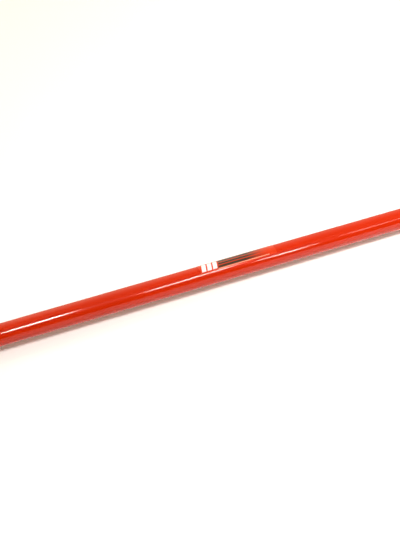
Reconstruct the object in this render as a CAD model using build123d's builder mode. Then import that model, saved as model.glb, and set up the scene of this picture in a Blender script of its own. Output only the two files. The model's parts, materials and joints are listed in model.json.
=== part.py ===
from build123d import *
import os
from math import cos, degrees, radians

# Vehicle sway bar with its frame bushings, saddle brackets and end links.
#
# The origin is the centre of the four chassis bolts, on the face that the two saddle brackets
# bolt down with. +X runs along the bar, +Z points away from the chassis, and both arms reach
# towards -Y. The end links lie in line with the arms. All sizes are in millimetres.

os.makedirs("parts", exist_ok=True)

SIDES = {"left": -1, "right": 1}

# Bar
bar_diameter = 25.4           # solid round spring steel
axis_height = 19.0            # bar axis above the bracket feet
arm_spacing = 950.0           # between the centre planes of the two arms
arm_reach = 250.0             # from the bar axis to the pivot bolts
bend_radius = 70.0            # of the centreline, at both bends

# Flattened, drilled arm ends
paddle_thickness = 13.0
paddle_height = 34.0
paddle_edge_round = 2.5
paddle_neck = 42.0            # length over which the round bar becomes flat
hole_pitch = 32.0             # between the three stiffness holes
hole_count = 3
hole_diameter = 12.5
root_to_last_hole = 24.0      # from the neck to the hole nearest the bar

# Centre decal
decal_length = 97.0
decal_width = 17.5            # measured round the bar
decal_thickness = 0.12

# Frame bushings
mount_spacing = 716.0         # between the two brackets
bushing_wall = 11.3           # from the bar's surface to the bracket
bushing_lip_height = 3.0      # how far the end lips stand proud of the bracket's seat
bushing_lip_width = 5.0
bushing_slit = 0.6            # the cut that lets the bushing open over the bar
grease_groove_depth = 1.0
grease_groove_width = 3.0
grease_groove_offset = 10.0   # of each groove from the bushing's middle

# Saddle brackets
bracket_width = 34.0
bracket_thickness = 4.0
bracket_bolt_spacing = 84.0
bracket_bolt_hole = 11.0
foot_margin = 13.0            # from a bolt hole's centre to the end of the foot
foot_corner_radius = 8.0
bracket_inner_bend = 3.0

# Grease fittings
fitting_thread_diameter = 6.0
fitting_thread_length = 9.0
fitting_hex_across_flats = 8.0
fitting_hex_height = 4.0
fitting_neck_diameter = 4.6
fitting_neck_height = 3.4
fitting_ball_diameter = 6.5
grease_way_diameter = 1.6

# Pivot bolts, nuts and washers
bolt_diameter = 12.0
bolt_length = 70.0            # under the head
bolt_head_across_flats = 18.0
bolt_head_height = 7.5
nut_height = 8.4
nut_collar_height = 2.6       # the nylon locking ring's crown
nut_collar_diameter = 15.6
lock_ring_height = 1.8
lock_ring_diameter = 13.8
outer_washer_diameter = 32.0
inner_washer_diameter = 24.0
washer_thickness = 2.5

# End links
link_length = 150.0           # between the two eye centres
link_rod_diameter = 14.0
eye_diameter = 38.0
eye_width = 28.0
eye_wall = 4.0
flange_diameter = 35.0
flange_thickness = 5.0
flange_edge_round = 1.5
sleeve_diameter = 18.0
sleeve_bore = 12.4

# Clearances
running_clearance = 0.05      # radial, bushings on the bar and on the sleeves
thread_clearance = 0.05       # radial, threads that are drawn as plain cylinders
washer_clearance = 0.5        # radial, washers on the bolts
seat_clearance = 0.05         # bracket over bushing, and fitting in bracket
end_play = 0.5                # between a flange's face and what it turns against
halves_gap = 0.1              # each bushing half stops this far short of the eye's middle

# Worked-out sizes and places
bar_radius = bar_diameter / 2
arm_x = arm_spacing / 2
mount_x = mount_spacing / 2
pivot_y = -arm_reach
free_eye_y = pivot_y - link_length
paddle_end_radius = paddle_height / 2
paddle_root_y = pivot_y + (hole_count - 1) * hole_pitch + root_to_last_hole
neck_root_y = paddle_root_y + paddle_neck

bushing_radius = bar_radius + bushing_wall
lip_radius = bushing_radius + bushing_lip_height
seat_width = bracket_width + 2 * seat_clearance
seat_radius = bushing_radius + seat_clearance
saddle_radius = seat_radius + bracket_thickness
foot_length = bracket_bolt_spacing + 2 * foot_margin
crown_height = axis_height + saddle_radius

flange_face = eye_width / 2 + flange_thickness
sleeve_length = 2 * (flange_face + end_play)
sleeve_start = paddle_thickness / 2
eye_station = sleeve_start + sleeve_length / 2
head_washer_start = sleeve_start + sleeve_length
head_start = head_washer_start + washer_thickness
nut_washer_start = -paddle_thickness / 2 - washer_thickness
nut_end = nut_washer_start - nut_height - nut_collar_height
eye_bore_diameter = eye_diameter - 2 * eye_wall


def outward(side, station, y):
    """Plane across the bar direction, facing outboard, at a station from the arm's middle."""
    direction = SIDES[side]
    origin = (direction * (arm_x + station), y, axis_height)
    return Plane(origin=origin, x_dir=(0, 1, 0), z_dir=(direction, 0, 0))


def along_arm(side, y):
    """Plane square to the arm at y, facing the arm's tip."""
    origin = (SIDES[side] * arm_x, y, axis_height)
    return Plane(origin=origin, x_dir=(1, 0, 0), z_dir=(0, -1, 0))


def across_mount(side, offset):
    """Plane across the bar at a bracket, with local X along +Y and local Y up from the feet."""
    return Plane(origin=(SIDES[side] * mount_x + offset, 0, 0), x_dir=(0, 1, 0), z_dir=(1, 0, 0))


def saddle_outline(radius):
    """D-shaped outline: an arch round the bar axis on straight sides that end at the feet."""
    with Locations((0, axis_height)):
        Circle(radius)
    with Locations((0, axis_height / 2)):
        Rectangle(2 * radius, axis_height)
    with Locations((0, -radius)):
        Rectangle(4 * radius, 2 * radius, mode=Mode.SUBTRACT)


def is_at(corner, sideways, height):
    """True for a sketch corner this far to either side of the bar axis, at this height."""
    return abs(abs(corner.X) - sideways) < 0.01 and abs(corner.Y - height) < 0.01


def hexagon(across_flats):
    """Hexagon given by its size across flats."""
    RegularPolygon(radius=across_flats / 2 / cos(radians(30)), side_count=6)


# Bar: one length of round steel with two bends, and a flattened paddle at each end.
paddles = {}
for side in SIDES:
    with BuildPart() as paddle:
        with BuildSketch(outward(side, -paddle_thickness / 2, pivot_y)):
            straight = paddle_root_y - pivot_y
            Circle(paddle_end_radius)
            with Locations((straight / 2, 0)):
                Rectangle(straight, paddle_height)
        extrude(amount=paddle_thickness)
        outline = paddle.faces().filter_by(Axis.X).edges()
        root_edges = outline.group_by(Axis.Y)[-1]
        fillet([edge for edge in outline if edge not in root_edges], radius=paddle_edge_round)
    paddles[side] = paddle.part

with BuildPart() as sway_bar:
    with BuildLine(Plane.XY.offset(axis_height)) as centreline:
        FilletPolyline(
            (-arm_x, neck_root_y),
            (-arm_x, 0),
            (arm_x, 0),
            (arm_x, neck_root_y),
            radius=bend_radius,
        )
    with BuildSketch(Plane(origin=centreline.line @ 0, z_dir=centreline.line % 0)):
        Circle(bar_radius)
    sweep()
    for side in SIDES:
        with BuildSketch(along_arm(side, neck_root_y)):
            Circle(bar_radius)
        with BuildSketch(along_arm(side, paddle_root_y)):
            RectangleRounded(paddle_thickness, paddle_height, paddle_edge_round)
        loft()
        add(paddles[side])
        for number in range(hole_count):
            with Locations(outward(side, paddle_thickness / 2, pivot_y + number * hole_pitch)):
                Hole(hole_diameter / 2, depth=paddle_thickness)
sway_bar.part.label = "sway_bar"
export_step(sway_bar.part, "parts/sway_bar.step")

# Decal: a thin film wrapped over the top of the bar at mid-length.
decal_angle = degrees(decal_width / bar_radius)
with BuildPart() as centre_decal:
    with BuildSketch(Plane.YZ.offset(-decal_length / 2)):
        with BuildLine():
            CenterArc(
                center=(0, axis_height),
                radius=bar_radius + decal_thickness / 2,
                start_angle=90 - decal_angle / 2,
                arc_size=decal_angle,
            )
        trace(line_width=decal_thickness)
    extrude(amount=decal_length)
centre_decal.part.label = "centre_decal"
export_step(centre_decal.part, "parts/centre_decal.step")

for side in SIDES:
    # Frame bushing: a D-shaped block with end lips, a grease way, grooves and one slit.
    with BuildPart() as frame_bushing:
        with BuildSketch(across_mount(side, -seat_width / 2)):
            saddle_outline(bushing_radius)
        extrude(amount=seat_width)
        for lip_start in (-seat_width / 2 - bushing_lip_width, seat_width / 2):
            with BuildSketch(across_mount(side, lip_start)):
                saddle_outline(lip_radius)
            extrude(amount=bushing_lip_width)
        with BuildSketch(across_mount(side, -seat_width)):
            with Locations((0, axis_height)):
                Circle(bar_radius + running_clearance)
        extrude(amount=2 * seat_width, mode=Mode.SUBTRACT)
        for groove in (-grease_groove_offset, grease_groove_offset):
            with BuildSketch(across_mount(side, groove - grease_groove_width / 2)):
                with Locations((0, axis_height)):
                    Circle(bar_radius + grease_groove_depth)
            extrude(amount=grease_groove_width, mode=Mode.SUBTRACT)
        with BuildSketch(across_mount(side, -seat_width)):
            with Locations((lip_radius / 2 + bar_radius / 2, axis_height)):
                Rectangle(lip_radius, bushing_slit)
        extrude(amount=2 * seat_width, mode=Mode.SUBTRACT)
        with Locations((SIDES[side] * mount_x, 0, axis_height + bushing_radius)):
            Hole(fitting_thread_diameter / 2 + seat_clearance, depth=fitting_thread_length)
            Hole(grease_way_diameter / 2, depth=bushing_wall)
    frame_bushing.part.label = f"frame_bushing_{side}"
    export_step(frame_bushing.part, f"parts/frame_bushing_{side}.step")

    # Saddle bracket: one strap of plate bent over the bushing, with a drilled foot each side.
    with BuildPart() as saddle_bracket:
        with BuildSketch(across_mount(side, -bracket_width / 2)) as strap:
            saddle_outline(saddle_radius)
            with Locations((0, bracket_thickness / 2)):
                Rectangle(foot_length, bracket_thickness)
            with Locations((0, axis_height)):
                Circle(seat_radius, mode=Mode.SUBTRACT)
            with Locations((0, axis_height / 2)):
                Rectangle(2 * seat_radius, axis_height, mode=Mode.SUBTRACT)
            inside = [v for v in strap.vertices() if is_at(v, saddle_radius, bracket_thickness)]
            fillet(inside, radius=bracket_inner_bend)
            outside = [v for v in strap.vertices() if is_at(v, seat_radius, 0)]
            fillet(outside, radius=bracket_inner_bend + bracket_thickness)
        extrude(amount=bracket_width)
        foot_ends = saddle_bracket.edges().filter_by(Axis.Z)
        tips = foot_ends.group_by(Axis.Y)[0] + foot_ends.group_by(Axis.Y)[-1]
        fillet(tips, radius=foot_corner_radius)
        foot_top = Plane(origin=(SIDES[side] * mount_x, 0, bracket_thickness))
        with Locations(foot_top):
            with GridLocations(0, bracket_bolt_spacing, 1, 2):
                Hole(bracket_bolt_hole / 2, depth=bracket_thickness)
        with Locations((SIDES[side] * mount_x, 0, crown_height)):
            Hole(fitting_thread_diameter / 2 + seat_clearance, depth=2 * bracket_thickness)
    saddle_bracket.part.label = f"saddle_bracket_{side}"
    export_step(saddle_bracket.part, f"parts/saddle_bracket_{side}.step")

    # Grease fitting: thread through the bracket into the bushing, hexagon, neck and ball.
    with BuildPart() as grease_fitting:
        hex_base = Plane(origin=(SIDES[side] * mount_x, 0, crown_height))
        with BuildSketch(hex_base):
            hexagon(fitting_hex_across_flats)
        extrude(amount=fitting_hex_height)
        with BuildSketch(hex_base):
            Circle(fitting_thread_diameter / 2)
        extrude(amount=-fitting_thread_length)
        with BuildSketch(hex_base.offset(fitting_hex_height)):
            Circle(fitting_neck_diameter / 2)
        extrude(amount=fitting_neck_height)
        with Locations(hex_base.offset(fitting_hex_height + fitting_neck_height)):
            Sphere(fitting_ball_diameter / 2)
        with Locations(hex_base.offset(fitting_hex_height + fitting_neck_height + fitting_ball_diameter)):
            Hole(grease_way_diameter / 2)
    grease_fitting.part.label = f"grease_fitting_{side}"
    export_step(grease_fitting.part, f"parts/grease_fitting_{side}.step")

    # Pivot bolt: hexagon head outboard, shank through sleeve and paddle.
    with BuildPart() as pivot_bolt:
        with BuildSketch(outward(side, head_start, pivot_y)):
            hexagon(bolt_head_across_flats)
        extrude(amount=bolt_head_height)
        with BuildSketch(outward(side, head_start - bolt_length, pivot_y)):
            Circle(bolt_diameter / 2)
        extrude(amount=bolt_length)
    pivot_bolt.part.label = f"pivot_bolt_{side}"
    export_step(pivot_bolt.part, f"parts/pivot_bolt_{side}.step")

    # Locking nut, inboard of the paddle, with its nylon ring's crown on the far side.
    with BuildPart() as pivot_nut:
        with BuildSketch(outward(side, nut_washer_start - nut_height, pivot_y)):
            hexagon(bolt_head_across_flats)
        extrude(amount=nut_height)
        with BuildSketch(outward(side, nut_washer_start - nut_height, pivot_y)):
            Circle(nut_collar_diameter / 2)
        extrude(amount=-nut_collar_height)
        with BuildSketch(outward(side, nut_washer_start, pivot_y)):
            Circle(bolt_diameter / 2 + thread_clearance)
        extrude(amount=-nut_height - nut_collar_height, mode=Mode.SUBTRACT)
        with BuildSketch(outward(side, nut_end, pivot_y)):
            Circle(lock_ring_diameter / 2)
        extrude(amount=lock_ring_height, mode=Mode.SUBTRACT)
    pivot_nut.part.label = f"pivot_nut_{side}"
    export_step(pivot_nut.part, f"parts/pivot_nut_{side}.step")

    # Nylon ring in the nut's crown, which grips the thread.
    with BuildPart() as lock_ring:
        with BuildSketch(outward(side, nut_end, pivot_y)):
            Circle(lock_ring_diameter / 2)
            Circle(bolt_diameter / 2 + thread_clearance, mode=Mode.SUBTRACT)
        extrude(amount=lock_ring_height)
    lock_ring.part.label = f"lock_ring_{side}"
    export_step(lock_ring.part, f"parts/lock_ring_{side}.step")

    # Washers: a wide one that keeps the link on its sleeve, and a plain one under the nut.
    washers = {
        "outer": (head_washer_start, outer_washer_diameter),
        "inner": (nut_washer_start, inner_washer_diameter),
    }
    for place, (start, diameter) in washers.items():
        with BuildPart() as pivot_washer:
            with BuildSketch(outward(side, start, pivot_y)):
                Circle(diameter / 2)
                Circle(bolt_diameter / 2 + washer_clearance, mode=Mode.SUBTRACT)
            extrude(amount=washer_thickness)
        pivot_washer.part.label = f"pivot_washer_{place}_{side}"
        export_step(pivot_washer.part, f"parts/pivot_washer_{place}_{side}.step")

    # Steel sleeves that the link's bushings turn on: one bolted to the arm, one at the free eye.
    for sleeve_name, sleeve_y in (("pivot_sleeve", pivot_y), ("free_sleeve", free_eye_y)):
        with BuildPart() as sleeve:
            with BuildSketch(outward(side, sleeve_start, sleeve_y)):
                Circle(sleeve_diameter / 2)
                Circle(sleeve_bore / 2, mode=Mode.SUBTRACT)
            extrude(amount=sleeve_length)
        sleeve.part.label = f"{sleeve_name}_{side}"
        export_step(sleeve.part, f"parts/{sleeve_name}_{side}.step")

    # End link: a round eye at each end, and a rod whose ends are hollowed to fit against them.
    for eye, eye_y in (("pivot", pivot_y), ("free", free_eye_y)):
        with BuildPart() as link_eye:
            with BuildSketch(outward(side, eye_station - eye_width / 2, eye_y)):
                Circle(eye_diameter / 2)
                Circle(eye_bore_diameter / 2, mode=Mode.SUBTRACT)
            extrude(amount=eye_width)
        link_eye.part.label = f"{eye}_eye_{side}"
        export_step(link_eye.part, f"parts/{eye}_eye_{side}.step")
    with BuildPart() as link_rod:
        rod_start = (SIDES[side] * (arm_x + eye_station), pivot_y, axis_height)
        with BuildSketch(Plane(origin=rod_start, x_dir=(1, 0, 0), z_dir=(0, -1, 0))):
            Circle(link_rod_diameter / 2)
        extrude(amount=link_length)
        for eye_y in (pivot_y, free_eye_y):
            with BuildSketch(outward(side, eye_station, eye_y)):
                Circle(eye_diameter / 2)
            extrude(amount=eye_width / 2, both=True, mode=Mode.SUBTRACT)
    link_rod.part.label = f"link_rod_{side}"
    export_step(link_rod.part, f"parts/link_rod_{side}.step")

    # Eye bushings: two flanged halves pushed into each eye from its two ends.
    for eye, eye_y in (("pivot", pivot_y), ("free", free_eye_y)):
        for place, facing in (("outer", 1), ("inner", -1)):
            flange_plane = outward(side, eye_station + facing * eye_width / 2, eye_y)
            with BuildPart() as eye_bushing:
                with BuildSketch(flange_plane):
                    Circle(flange_diameter / 2)
                extrude(amount=facing * flange_thickness)
                rim = eye_bushing.edges().group_by(Axis.X)[-1 if facing == SIDES[side] else 0]
                fillet(rim, radius=flange_edge_round)
                with BuildSketch(flange_plane):
                    Circle(eye_bore_diameter / 2)
                extrude(amount=-facing * (eye_width / 2 - halves_gap))
                with BuildSketch(flange_plane):
                    Circle(sleeve_diameter / 2 + running_clearance)
                extrude(amount=flange_face, both=True, mode=Mode.SUBTRACT)
            eye_bushing.part.label = f"{eye}_eye_bushing_{place}_{side}"
            export_step(eye_bushing.part, f"parts/{eye}_eye_bushing_{place}_{side}.step")
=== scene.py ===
"""Looks of a vehicle sway bar with its frame bushings, saddle brackets and end links.

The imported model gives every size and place. Each class below builds one sub-assembly from a few
dimensions of its own, in metres, and hangs its pieces on the body that they move with.
"""
import json
import logging
import math
from dataclasses import dataclass
from enum import Enum
from typing import Any, Callable, Iterable, Sequence

import bmesh
import bpy
from mathutils import Matrix, Vector


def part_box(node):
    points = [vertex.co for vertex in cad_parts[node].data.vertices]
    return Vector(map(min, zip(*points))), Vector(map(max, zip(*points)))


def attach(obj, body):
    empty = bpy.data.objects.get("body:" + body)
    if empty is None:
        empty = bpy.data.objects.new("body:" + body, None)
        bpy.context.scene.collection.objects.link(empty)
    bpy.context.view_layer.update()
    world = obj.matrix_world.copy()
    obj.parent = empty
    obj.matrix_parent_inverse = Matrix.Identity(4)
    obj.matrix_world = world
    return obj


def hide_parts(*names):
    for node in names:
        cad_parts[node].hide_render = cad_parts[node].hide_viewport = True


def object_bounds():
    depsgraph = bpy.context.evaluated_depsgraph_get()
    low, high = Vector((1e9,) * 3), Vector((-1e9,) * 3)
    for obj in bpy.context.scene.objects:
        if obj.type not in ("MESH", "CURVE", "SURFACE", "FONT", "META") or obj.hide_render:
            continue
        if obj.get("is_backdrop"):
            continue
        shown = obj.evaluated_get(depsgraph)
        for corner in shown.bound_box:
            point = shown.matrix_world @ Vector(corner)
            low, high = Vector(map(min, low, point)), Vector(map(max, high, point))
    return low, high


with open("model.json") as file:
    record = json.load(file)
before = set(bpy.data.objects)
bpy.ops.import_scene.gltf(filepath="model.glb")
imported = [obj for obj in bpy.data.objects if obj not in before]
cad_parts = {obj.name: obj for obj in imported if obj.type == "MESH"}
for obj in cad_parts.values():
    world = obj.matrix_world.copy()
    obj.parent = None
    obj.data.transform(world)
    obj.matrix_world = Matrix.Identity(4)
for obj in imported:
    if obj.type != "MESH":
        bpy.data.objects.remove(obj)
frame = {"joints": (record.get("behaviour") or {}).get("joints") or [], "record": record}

log = logging.getLogger("sway_bar")
Point = tuple[float, float]
Colour = tuple[float, float, float, float]
Edges = list[bmesh.types.BMEdge]

MM = 0.001
FULL_TURN = 2 * math.pi
QUARTER = math.pi / 2
X_AXIS = Vector((1, 0, 0))
Y_AXIS = Vector((0, 1, 0))
Z_AXIS = Vector((0, 0, 1))
WELD = 1e-6
# Turned shapes are set this far round from a hexagon's corners, so that no two edges lie together.
OFF_CORNER = math.radians(1.0)
# How far a rounded corner falls short of a square one, on its two faces, over a quarter turn.
ROUNDING = [
    (1 - math.cos(turn * QUARTER / 4), 1 - math.sin(turn * QUARTER / 4)) for turn in range(5)
]

ORANGE: Colour = (0.50, 0.0176, 0.0006, 1.0)
DEEP_ORANGE: Colour = (0.48, 0.0168, 0.0006, 1.0)
SOFT_BLACK: Colour = (0.012, 0.012, 0.013, 1.0)
WORN_BLACK: Colour = (0.016, 0.016, 0.017, 1.0)
LIGHT_OFF: Colour = (0.0, 0.0, 0.0, 1.0)


class Side(Enum):
    """The two ends of the bar, by the sign of X that they lie on."""

    LEFT = -1
    RIGHT = 1

    @property
    def label(self) -> str:
        """The word that ends this side's node names."""
        return self.name.lower()


class Combine(Enum):
    """Ways of joining one closed shape to another."""

    CUT = "DIFFERENCE"
    JOIN = "UNION"
    COMMON = "INTERSECT"


# --------------------------------------------------------------------------------------------
# Shader building
# --------------------------------------------------------------------------------------------


class Value:
    """A number that varies over a surface, which Python's operators turn into Math nodes."""

    def __init__(self, graph: "Graph", socket: bpy.types.NodeSocket) -> None:
        """Wraps an output socket."""
        self.graph = graph
        self.socket = socket

    def math(self, operation: str, *others: Any) -> "Value":
        """Runs one Math node on this value and others."""
        inputs = dict(enumerate((self, *others)))
        return self.graph.node("ShaderNodeMath", {"operation": operation}, inputs)

    def __add__(self, other: Any) -> "Value":
        """Sum."""
        return self.math("ADD", other)

    __radd__ = __add__

    def __sub__(self, other: Any) -> "Value":
        """Difference."""
        return self.math("SUBTRACT", other)

    def __rsub__(self, other: float) -> "Value":
        """Difference from a plain number."""
        return (self * -1.0) + other

    def __mul__(self, other: Any) -> "Value":
        """Product."""
        return self.math("MULTIPLY", other)

    __rmul__ = __mul__

    def __truediv__(self, other: Any) -> "Value":
        """Quotient."""
        return self.math("DIVIDE", other)

    def __abs__(self) -> "Value":
        """Size without sign."""
        return self.math("ABSOLUTE")

    def __lt__(self, other: Any) -> "Value":
        """1 where this is the smaller."""
        return self.math("LESS_THAN", other)

    def __gt__(self, other: Any) -> "Value":
        """1 where this is the larger."""
        return self.math("GREATER_THAN", other)

    def clipped(self) -> "Value":
        """The value held between 0 and 1."""
        return self.math("MAXIMUM", 0.0).math("MINIMUM", 1.0)

    def ramp(self, low: float, high: float) -> "Value":
        """A smooth step.

        Args:
            low: Where the step starts, at 0.
            high: Where it ends, at 1.

        Returns:
            The step's height here.
        """
        settings = {"interpolation_type": "SMOOTHSTEP"}
        inputs = {"Value": self, "From Min": low, "From Max": high}
        return self.graph.node("ShaderNodeMapRange", settings, inputs)


class Graph:
    """A material's node graph."""

    def __init__(self, name: str) -> None:
        """Starts an empty material.

        Args:
            name: The material's name.
        """
        self.material = bpy.data.materials.new(name)
        self.material.use_nodes = True
        self.tree = self.material.node_tree
        self.tree.nodes.clear()
        self.output = self.tree.nodes.new("ShaderNodeOutputMaterial")

    def node(
        self,
        kind: str,
        settings: dict[str, Any] | None = None,
        inputs: dict[Any, Any] | None = None,
        result: int | str = 0,
    ) -> Value:
        """Adds a node.

        Args:
            kind: The node's type.
            settings: Properties set before its sockets, and "stops" for a colour ramp.
            inputs: Plain values or links, by socket name or number.
            result: Which output to hand back.

        Returns:
            The chosen output.
        """
        node = self.tree.nodes.new(kind)
        for key, setting in (settings or {}).items():
            if key == "stops":
                self.set_stops(node.color_ramp.elements, setting)
            else:
                setattr(node, key, setting)
        for key, given in (inputs or {}).items():
            socket = node.inputs[key]
            if isinstance(given, Value):
                self.tree.links.new(given.socket, socket)
            else:
                socket.default_value = given
        return Value(self, node.outputs[result])

    @staticmethod
    def set_stops(elements: Any, stops: Sequence[tuple[float, tuple[float, ...]]]) -> None:
        """Fills a colour ramp.

        Args:
            elements: The ramp's own stops.
            stops: Each stop's place and colour.
        """
        while len(elements) < len(stops):
            elements.new(1.0)
        for element, (place, colour) in zip(elements, stops):
            element.position = place
            element.color = colour

    def place(self) -> Value:
        """The point on the surface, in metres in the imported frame."""
        return self.node("ShaderNodeTexCoord", result="Object")

    def split(self, vector: Value) -> tuple[Value, Value, Value]:
        """The three parts of a vector.

        Args:
            vector: The vector to take apart.

        Returns:
            Its X, Y and Z.
        """
        first = self.node("ShaderNodeSeparateXYZ", inputs={"Vector": vector})
        outputs = first.socket.node.outputs
        return tuple(Value(self, outputs[axis]) for axis in "XYZ")

    def noise(self, grain: float, detail: float = 2.0, roughness: float = 0.5) -> Value:
        """Cloudy noise.

        Args:
            grain: The size of one cloud in metres.
            detail: How many finer layers it has.
            roughness: How strong those are.

        Returns:
            Noise from 0 to 1.
        """
        inputs = {
            "Vector": self.place(), "Scale": 1.0 / grain, "Detail": detail, "Roughness": roughness
        }
        return self.node("ShaderNodeTexNoise", inputs=inputs, result="Fac")

    def mix(self, share: Any, first: Any, second: Any) -> Value:
        """Blends two colours."""
        inputs = {0: share, 6: first, 7: second}
        return self.node("ShaderNodeMix", {"data_type": "RGBA"}, inputs, 2)

    def bump(self, height: Value, depth: float, under: Value | None = None) -> Value:
        """Turns a height into a normal.

        Args:
            height: Height from 0 to 1.
            depth: What 1 means in metres.
            under: A normal that this one adds to.

        Returns:
            The bent normal.
        """
        inputs: dict[str, Any] = {"Height": height, "Distance": depth, "Strength": 1.0}
        if under is not None:
            inputs["Normal"] = under
        return self.node("ShaderNodeBump", inputs=inputs)

    def surface(self, **inputs: Any) -> bpy.types.Material:
        """Finishes the material with one principled shader.

        Args:
            inputs: Its sockets, with an underscore for each space.

        Returns:
            The material.
        """
        named = {key.replace("_", " "): given for key, given in inputs.items()}
        shader = self.node("ShaderNodeBsdfPrincipled", inputs=named)
        self.tree.links.new(shader.socket, self.output.inputs["Surface"])
        return self.material


@dataclass(frozen=True)
class PowderCoat:
    """Sprayed and baked powder under a gloss, with the faint ripple that such a coat dries to."""

    name: str
    colour: Colour
    shade: Colour
    roughness: float = 0.22
    gloss: float = 1.0
    gloss_roughness: float = 0.025
    ripple: float = 2.6 * MM
    ripple_depth: float = 0.0004 * MM
    speck: float = 0.35 * MM
    speck_depth: float = 0.00012 * MM

    def build(self) -> bpy.types.Material:
        """Makes the material."""
        graph = Graph(self.name)
        drift = graph.noise(60 * MM, 3.0).ramp(0.35, 0.7)
        ripple = graph.noise(self.ripple, 1.0, 0.4)
        speck = graph.noise(self.speck, 1.0, 0.4)
        normal = graph.bump(speck, self.speck_depth, graph.bump(ripple, self.ripple_depth))
        return graph.surface(
            Base_Color=graph.mix(drift, self.colour, self.shade),
            Roughness=speck * 0.08 + self.roughness,
            Coat_Weight=self.gloss,
            Coat_Roughness=self.gloss_roughness,
            Coat_IOR=1.40,
            Specular_IOR_Level=0.03,
            Normal=normal,
        )


@dataclass(frozen=True)
class Polyurethane:
    """Moulded black polyurethane: satin, very slightly uneven, with fine mould grain."""

    name: str = "black_polyurethane"
    colour: Colour = SOFT_BLACK
    bloom: Colour = (0.028, 0.028, 0.031, 1.0)

    def build(self) -> bpy.types.Material:
        """Makes the material."""
        graph = Graph(self.name)
        cloud = graph.noise(9 * MM, 4.0, 0.6).ramp(0.4, 0.75)
        grain = graph.noise(0.45 * MM, 2.0, 0.6)
        flow = graph.noise(4 * MM, 2.0)
        normal = graph.bump(grain, 0.01 * MM, graph.bump(flow, 0.05 * MM))
        return graph.surface(
            Base_Color=graph.mix(cloud, self.colour, self.bloom),
            Roughness=cloud * 0.16 + (grain * 0.1 + 0.36),
            Specular_IOR_Level=0.5,
            Normal=normal,
        )


@dataclass(frozen=True)
class ZincPlate:
    """Zinc-plated steel: grey-white metal with spangled clouding and fine marks."""

    name: str
    colour: Colour = (0.60, 0.61, 0.60, 1.0)
    tarnish: Colour = (0.47, 0.47, 0.44, 1.0)
    roughness: float = 0.28
    mottle: float = 7 * MM

    def build(self) -> bpy.types.Material:
        """Makes the material."""
        graph = Graph(self.name)
        cloud = graph.noise(self.mottle, 5.0, 0.6).ramp(0.35, 0.7)
        cells = {"Vector": graph.place(), "Scale": 1.0 / (2.2 * MM)}
        spangle = graph.node("ShaderNodeTexVoronoi", inputs=cells, result="Color")
        tone = graph.split(spangle)[0]
        grain = graph.noise(0.25 * MM, 2.0)
        shade = (cloud * 0.7 + tone * 0.3).clipped()
        return graph.surface(
            Base_Color=graph.mix(shade, self.colour, self.tarnish),
            Metallic=1.0,
            Roughness=cloud * 0.12 + (tone * 0.06 + (grain * 0.08 + self.roughness - 0.1)),
            Normal=graph.bump(grain, 0.004 * MM),
        )


@dataclass(frozen=True)
class TurnedSteel:
    """Steel tube parted off on a lathe, with rings round its axis."""

    name: str = "turned_sleeve"
    colour: Colour = (0.55, 0.55, 0.54, 1.0)
    dark: Colour = (0.42, 0.42, 0.42, 1.0)
    ring_pitch: float = 0.35 * MM

    def build(self) -> bpy.types.Material:
        """Makes the material."""
        graph = Graph(self.name)
        along = graph.split(graph.place())[0]
        wander = graph.noise(5 * MM, 2.0)
        phase = along * (FULL_TURN / self.ring_pitch) + wander * 6.0
        rings = phase.math("SINE") * 0.5 + 0.5
        cloud = graph.noise(8 * MM, 4.0).ramp(0.35, 0.7)
        return graph.surface(
            Base_Color=graph.mix(cloud, self.colour, self.dark),
            Metallic=1.0,
            Roughness=rings * 0.1 + (cloud * 0.1 + 0.22),
            Normal=graph.bump(rings, 0.004 * MM),
        )


@dataclass(frozen=True)
class Nylon:
    """Moulded nylon of a locking ring."""

    name: str = "nylon"
    colour: Colour = (0.05, 0.13, 0.42, 1.0)
    pale: Colour = (0.10, 0.21, 0.52, 1.0)

    def build(self) -> bpy.types.Material:
        """Makes the material."""
        graph = Graph(self.name)
        cloud = graph.noise(2 * MM, 3.0)
        return graph.surface(
            Base_Color=graph.mix(cloud, self.colour, self.pale),
            Roughness=cloud * 0.15 + 0.35,
            Normal=graph.bump(cloud, 0.02 * MM),
        )


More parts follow.
